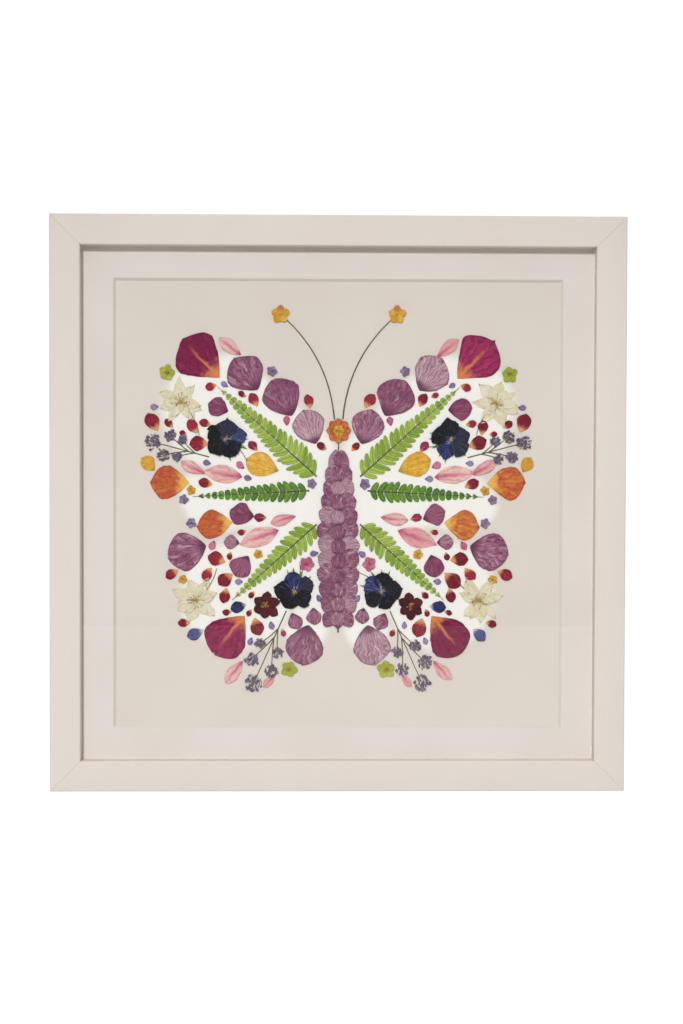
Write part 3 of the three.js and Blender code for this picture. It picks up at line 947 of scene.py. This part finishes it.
# Kind, number of lobes (1 for a single petal), length, width and how many on each wing
LOOSE_ROWS = (
    ("maroon", 6, 22.0, 22.0, 1),
    ("plum", 1, 19.0, 18.0, 2),
    ("pink", 1, 23.0, 10.5, 2),
    ("red", 1, 15.5, 12.0, 3),
    ("lime", 5, 15.0, 15.0, 1),
    ("cream", 6, 17.0, 17.0, 1),
    ("mauve", 1, 14.0, 13.0, 3),
    ("yellow", 1, 14.0, 11.5, 2),
    ("indigo", 1, 14.0, 10.0, 2),
    ("rose", 5, 12.5, 12.5, 2),
    ("red", 1, 12.5, 9.0, 7),
    ("dark", 1, 13.0, 10.0, 2),
    ("pink", 1, 14.0, 7.0, 2),
    ("lilac", 5, 9.0, 9.0, 3),
    ("wine", 1, 10.5, 7.5, 4),
    ("yellow", 5, 8.5, 8.5, 2),
    ("red", 1, 9.5, 6.8, 8),
    ("rose", 1, 8.0, 6.0, 4),
    ("lilac", 1, 6.5, 5.0, 5),
    ("red", 1, 7.0, 5.0, 6),
)
LOOSE_SLOTS = {
    "red": "wine", "maroon": "wine", "plum": "mauve", "rose": "pink", "indigo": "pansy", "dark": "pansy",
    "yellow": "orange", "lime": "orange", "cream": "blossom", "lilac": "sprig",
}


def covered(nodes):
    """A tree of the solids' faces, to measure how far a spot is from the nearest one."""
    points = []
    faces = []
    for node in nodes:
        first = len(points)
        mesh = frame["nodes"][node].data
        points += [Vector((v.co.x / MM, 0.0, (v.co.z - MIDDLE_Z) / MM)) for v in mesh.vertices]
        faces += [[first + i for i in face.vertices] for face in mesh.polygons]
    return BVHTree.FromPolygons(points, faces)


def inside(spot, hull):
    """Whether a spot is inside a convex outline that runs anticlockwise."""
    return all((b - a).cross(spot - a) >= 0 for a, b in zip(hull, hull[1:] + hull[:1]))


def loose_spots(nodes):
    """Kind, lobes, place, turn and size of each loose piece on the right wings, clear of the others."""
    chance = random.Random("loose petals")
    tree = covered(nodes)
    placed = []
    for wing in ("forewing", "hindwing"):
        corners = [c for n in nodes if n.startswith(wing + "_right") for c in corners_of(n)]
        hull = [corners[i] for i in convex_hull_2d(corners)]
        root = Vector(WING_ROOTS[wing])
        for kind, lobes, length, width, count in LOOSE_ROWS:
            left = count
            for _ in range(LOOSE_TRIES):
                if not left:
                    break
                spot = Vector((chance.uniform(*LOOSE_ACROSS), chance.uniform(*LOOSE_UP)))
                room = (length + width) / 4
                gap = tree.find_nearest(Vector((spot.x, 0.0, spot.y)))[3]
                near = any((spot - p[2]).length < room + p[-1] + LOOSE_CLEARANCE for p in placed)
                if gap < room + LOOSE_CLEARANCE or near or not inside(spot, hull):
                    continue
                out = spot - root
                turn = math.atan2(out.y, out.x) + chance.uniform(-0.9, 0.9)
                placed.append((kind, lobes, spot, turn, length, width, room))
                left -= 1
    return placed


def faces_over(size):
    """How many faces a loose petal's mesh has over a stretch of size millimetres."""
    return max(6, min(22, round(size * 1.2)))


def loose_petals(nodes):
    groups = {}
    chance = random.Random("loose petal surfaces")
    for kind, lobes, spot, turn, length, width, _ in loose_spots(nodes):
        made = groups.setdefault(kind, Pressed("loose_%s_petals" % kind, PETALS[kind], ANTHER))
        for hand in (1, -1):
            aim = (turn if hand == 1 else math.pi - turn) + chance.uniform(-0.25, 0.25)
            middle = Vector((hand * spot.x, spot.y))
            size = chance.uniform(0.9, 1.05)
            bed = BED + chance.uniform(0.0, 0.3)
            if lobes == 1:
                base = middle - Vector((math.cos(aim), math.sin(aim))) * (length / 2)
                shape = petal(base, aim, length * size, width * size, chance.uniform(0, 90), bed,
                              bend=chance.uniform(-0.3, 0.3), **LOOSE_PETAL)
                made.sheet(shape, faces_over(length), faces_over(width), chance.random())
                continue
            for i in range(lobes):
                lobe = aim + i * 2 * math.pi / lobes + chance.uniform(-0.12, 0.12)
                wide = width * 2.2 / lobes
                shape = petal(middle, lobe, length / 2 * size * chance.uniform(0.88, 1.05), wide * size,
                              chance.uniform(0, 90), bed + 0.1 * (i % 2),
                              bend=chance.uniform(-0.3, 0.3), **LOOSE_LOBE)
                made.sheet(shape, faces_over(length / 2), faces_over(wide), chance.random())
            stamens(made, middle, length * 0.16, round(length * 0.4), chance, bed + 0.6, 1)
    for kind, made in groups.items():
        made.piece(LOOSE_SLOTS.get(kind, kind))


# Rigid pieces, with edges that turn by more than so many degrees kept crisp
RAIL_SHARP = 35
STEEL_SHARP = 30


def rigid_piece(name, points, faces, look, sharp=None):
    mesh = bpy.data.meshes.new(name)
    mesh.from_pydata(points, [], faces)
    mesh.materials.append(look.material)
    mesh.shade_smooth()
    if sharp:
        mesh.set_sharp_from_angle(angle=math.radians(sharp))
    made = bpy.data.objects.new(name, mesh)
    bpy.context.scene.collection.objects.link(made)
    return made


# Rails of the frame

LIP_DEPTH = 5.0
LIP_COVER = 7.0
EASED_EDGE = 1.2
EASED_BACK = 0.4
MITRE_GROOVE = 0.32
MITRE_WIDTH = 0.35
RAIL_STEPS = 24
EDGE_STEPS = 5


def rounded(corners):
    """An outline with each corner rounded. Each corner gives its place and its radius."""
    outline = []
    for index, (spot, radius) in enumerate(corners):
        before = (Vector(corners[index - 1][0]) - Vector(spot)).normalized()
        after = (Vector(corners[(index + 1) % len(corners)][0]) - Vector(spot)).normalized()
        for step in range(EDGE_STEPS + 1):
            swing = math.pi / 2 * step / EDGE_STEPS
            outline.append(Vector(spot) + before * radius * (1 - math.sin(swing))
                           + after * radius * (1 - math.cos(swing)))
    return outline


def rail_profile(face, depth):
    """The moulding's section: distance in from the outer edge, then distance forward of the wall."""
    inner = face - LIP_COVER
    lip = depth - LIP_DEPTH
    return rounded((
        ((0, 0), EASED_BACK), ((0, depth), EASED_EDGE), ((face, depth), EASED_EDGE),
        ((face, lip), EASED_BACK), ((inner, lip), EASED_BACK), ((inner, 0), EASED_BACK),
    ))


def shrunk(outline, amount):
    """An outline moved inwards by amount."""
    moved = []
    for index, spot in enumerate(outline):
        along = outline[(index + 1) % len(outline)] - outline[index - 1]
        moved.append(spot + Vector((along.y, -along.x)).normalized() * amount)
    return moved


def rail(name, quarter, look):
    """A mitred rail: the top one turned by quarters of a turn about the middle of the picture."""
    low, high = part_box("rail_top")
    face = (high.z - low.z) / MM
    depth = (high.y - low.y) / MM
    half = (high.z - MIDDLE_Z) / MM
    full = rail_profile(face, depth)
    groove = shrunk(full, MITRE_GROOVE)
    stations = [-1 + 2 * i / RAIL_STEPS for i in range(RAIL_STEPS + 1)]
    rings = [(groove, -1, 0.0), *[(full, s, MITRE_WIDTH) for s in stations], (groove, 1, 0.0)]
    points = []
    for outline, station, short in rings:
        for inward, forward in outline:
            along = (half - inward - short) * station
            up = half - inward
            for _ in range(quarter):
                along, up = up, -along
            points.append((along * MM, -forward * MM, MIDDLE_Z + up * MM))
    count = len(full)
    faces = [tuple(range(count)), tuple(reversed(range(len(points) - count, len(points))))]
    for ring in range(len(rings) - 1):
        for i in range(count):
            j = (i + 1) % count
            first = ring * count
            faces.append((first + j, first + i, first + count + i, first + count + j))
    made = rigid_piece(name, points, faces, look, RAIL_SHARP)
    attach(made, "root")
    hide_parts(name.replace("painted_", ""))


# Steel fittings on the back


TAB_TIP = 0.42
TAB_CORNER = 0.4
TAB_EASED = 0.2


def steel_tab(node, zinc):
    """A flat tab with a round free end that points at the middle of the picture."""
    low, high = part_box(node)
    middle = (low + high) / 2
    inward = Vector((-middle.x, 0, MIDDLE_Z - middle.z))
    level = abs(inward.x) > abs(inward.z)
    if level:
        along = Vector((math.copysign(1, inward.x), 0, 0))
    else:
        along = Vector((0, 0, math.copysign(1, inward.z)))
    aside = Vector((along.z, 0, -along.x))
    size = (high - low) / MM
    long, wide = (size.x, size.z) if level else (size.z, size.x)
    tip = wide * TAB_TIP
    outline = rounded((
        ((-long / 2, -wide / 2), TAB_CORNER), ((-long / 2, wide / 2), TAB_CORNER),
        ((long / 2, wide / 2), tip), ((long / 2, -wide / 2), tip),
    ))
    eased = shrunk(outline, TAB_EASED)
    thick = size.y / 2
    flat = thick - TAB_EASED
    points = []
    for ring, height in ((eased, -thick), (outline, -flat), (outline, flat), (eased, thick)):
        raised = Vector((0, height, 0))
        points += [middle + (along * spot.x + aside * spot.y + raised) * MM for spot in ring]
    count = len(outline)
    faces = [tuple(reversed(range(count))), tuple(range(3 * count, 4 * count))]
    for ring in range(3):
        for i in range(count):
            j = (i + 1) % count
            first = ring * count
            faces.append((first + i, first + j, first + count + j, first + count + i))
    made = rigid_piece("steel_" + node, points, faces, zinc, STEEL_SHARP)
    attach(made, "root")
    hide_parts(node)


def lathe(name, profile, look, middle, facing, sides=24):
    """A round piece: profile gives radius and height in millimetres, with facing the way up."""
    points = []
    faces = []
    aside = facing.orthogonal().normalized()
    other = facing.cross(aside)
    for radius, height in profile:
        for i in range(sides):
            swing = 2 * math.pi * i / sides
            ring = (aside * math.cos(swing) + other * math.sin(swing)) * radius + facing * height
            points.append(middle + ring * MM)
    for k in range(len(profile) - 1):
        for i in range(sides):
            j = (i + 1) % sides
            faces.append((k * sides + i, k * sides + j, (k + 1) * sides + j, (k + 1) * sides + i))
    faces.append(tuple(reversed(range(sides))))
    faces.append(tuple(range((len(profile) - 1) * sides, len(profile) * sides)))
    return rigid_piece(name, points, faces, look)


HANGER_FOOT = 10.0
HANGER_PLATE = 1.0
# Radius and height of each ring of a nail's head
NAIL_HEAD = ((2.4, 0.05), (2.4, 0.35), (2.1, 0.75), (1.4, 1.0), (0.5, 1.1))


def hanger_nails(zinc):
    low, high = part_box("hanger")
    foot_back = low.y + HANGER_PLATE * MM
    for side, x in (("left", low.x + HANGER_FOOT * MM / 2), ("right", high.x - HANGER_FOOT * MM / 2)):
        middle = Vector((x, foot_back, (low.z + high.z) / 2))
        nail = lathe("hanger_nail_" + side, NAIL_HEAD, zinc, middle, Vector((0, 1, 0)))
        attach(nail, "root")


# Studio


def wear(node, look):
    slots = frame["nodes"][node].data.materials
    slots.clear()
    slots.append(look.material)


def studio():
    scene = bpy.context.scene
    scene.view_settings.view_transform = "Standard"
    world = bpy.data.worlds.new("studio")
    world.use_nodes = True
    scene.world = world
    tree = world.node_tree
    back = tree.nodes["Background"]
    spot = tree.nodes.new("ShaderNodeTexCoord")
    parts = tree.nodes.new("ShaderNodeSeparateXYZ")
    tree.links.new(spot.outputs["Generated"], parts.inputs[0])
    ramps = []
    for axis, low, high, first, last in SKY_RAMPS:
        ramp = tree.nodes.new("ShaderNodeMapRange")
        ramp.interpolation_type = "SMOOTHSTEP"
        for name, value in (("From Min", low), ("From Max", high), ("To Min", first), ("To Max", last)):
            ramp.inputs[name].default_value = value
        tree.links.new(parts.outputs[axis], ramp.inputs["Value"])
        ramps.append(ramp.outputs["Result"])
    level = tree.nodes.new("ShaderNodeMath")
    level.operation = "MULTIPLY"
    tree.links.new(ramps[0], level.inputs[0])
    tree.links.new(ramps[1], level.inputs[1])
    tree.links.new(level.outputs[0], back.inputs["Strength"])
    back.inputs["Color"].default_value = (1, 1, 1, 1)

    floor_mesh = bpy.data.meshes.new("floor")
    floor_mesh.from_pydata([(x, y, FLOOR_Z) for x, y in FLOOR_CORNERS], [], [(0, 1, 2, 3)])
    floor_mesh.materials.append(grain_look("pale_floor", "e9e7e4", "e5e3e0").material)
    floor = bpy.data.objects.new("floor", floor_mesh)
    scene.collection.objects.link(floor)

    key = bpy.data.lights.new("key", "SPOT")
    key.energy = KEY_POWER
    key.shadow_soft_size = KEY_RADIUS
    key.spot_size = math.radians(KEY_CONE)
    key.spot_blend = 1.0
    lamp = bpy.data.objects.new("key", key)
    lamp.location = KEY_PLACE
    aim = Vector(KEY_AIM) - lamp.location
    lamp.rotation_euler = aim.to_track_quat("-Z", "Y").to_euler()
    scene.collection.objects.link(lamp)


def camera():
    data = bpy.data.cameras.new("camera")
    data.sensor_width = SENSOR
    data.lens = FOCAL_PIXELS / IMAGE_HEIGHT * SENSOR
    made = bpy.data.objects.new("camera", data)
    made.location = CAMERA_PLACE
    made.rotation_euler = [math.radians(a) for a in (90 + CAMERA_PITCH, CAMERA_ROLL, CAMERA_YAW)]
    bpy.context.scene.collection.objects.link(made)
    bpy.context.scene.camera = made


def dress_frame():
    level = paint_look("white_paint_level", (0.03, 1, 1))
    upright = paint_look("white_paint_upright", (1, 1, 0.03))
    zinc = zinc_look()
    for quarter, side in enumerate(("top", "right", "bottom", "left")):
        rail("painted_rail_" + side, quarter, upright if quarter % 2 else level)
    wear("spacer_frame", level)
    wear("window_mat", card_look())
    wear("backing_paper", paper_look())
    wear("glass_pane", glass_look())
    wear("backboard", hardboard_look())
    for node in ("tab_top", "tab_right", "tab_bottom", "tab_left"):
        steel_tab(node, zinc)
    wear("hanger", zinc)
    eased = frame["nodes"]["hanger"].modifiers.new("eased_edges", "BEVEL")
    eased.width = TAB_EASED * MM
    eased.segments = 2
    pane = frame["nodes"]["glass_pane"]
    pane.visible_shadow = False
    pane.visible_diffuse = False
    hanger_nails(zinc)


def dress_picture():
    wings = [n for n in frame["nodes"] if n.startswith(("forewing", "hindwing"))]
    for node in wings:
        wing_piece(node)
    body_piece("body_spike")
    head_piece("head_bud")
    antenna_piece("antenna_left")
    antenna_piece("antenna_right")
    loose_petals(wings + ["body_spike", "head_bud", "antenna_left", "antenna_right"])


camera()
studio()
dress_frame()
dress_picture()
